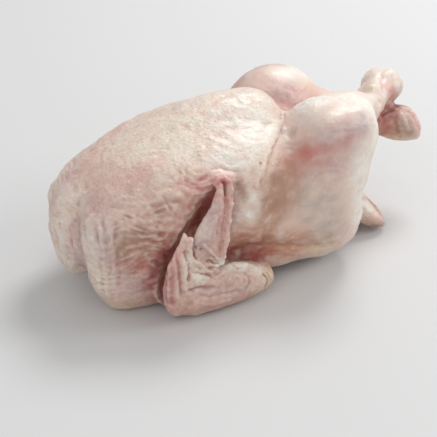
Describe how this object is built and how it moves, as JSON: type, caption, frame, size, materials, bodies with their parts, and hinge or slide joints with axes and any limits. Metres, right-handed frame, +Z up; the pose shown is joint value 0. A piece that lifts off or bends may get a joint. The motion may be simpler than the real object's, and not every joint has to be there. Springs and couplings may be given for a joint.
{
  "type": "whole raw chicken",
  "caption": "Whole raw chicken without head or feet, plucked and drawn, lying on its back with the breast up, its wings folded flat and its drumsticks crossed at the ends.",
  "frame": {"origin": "on the flat stripe of the back that the bird rests on, 134 mm behind the foremost point of the neck end", "axes": "+X runs from the neck end to the tail and the leg ends, +Z is up through the breast, and -Y is the side whose leg crosses on top"},
  "size_m": [0.3326, 0.1674, 0.1372],
  "materials": {
    "skin": "raw poultry skin: pale pink and cream, thin, softly translucent and slightly wet"
  },
  "bodies": {
    "root": {"chicken": "skin"}
  },
  "joints": []
}
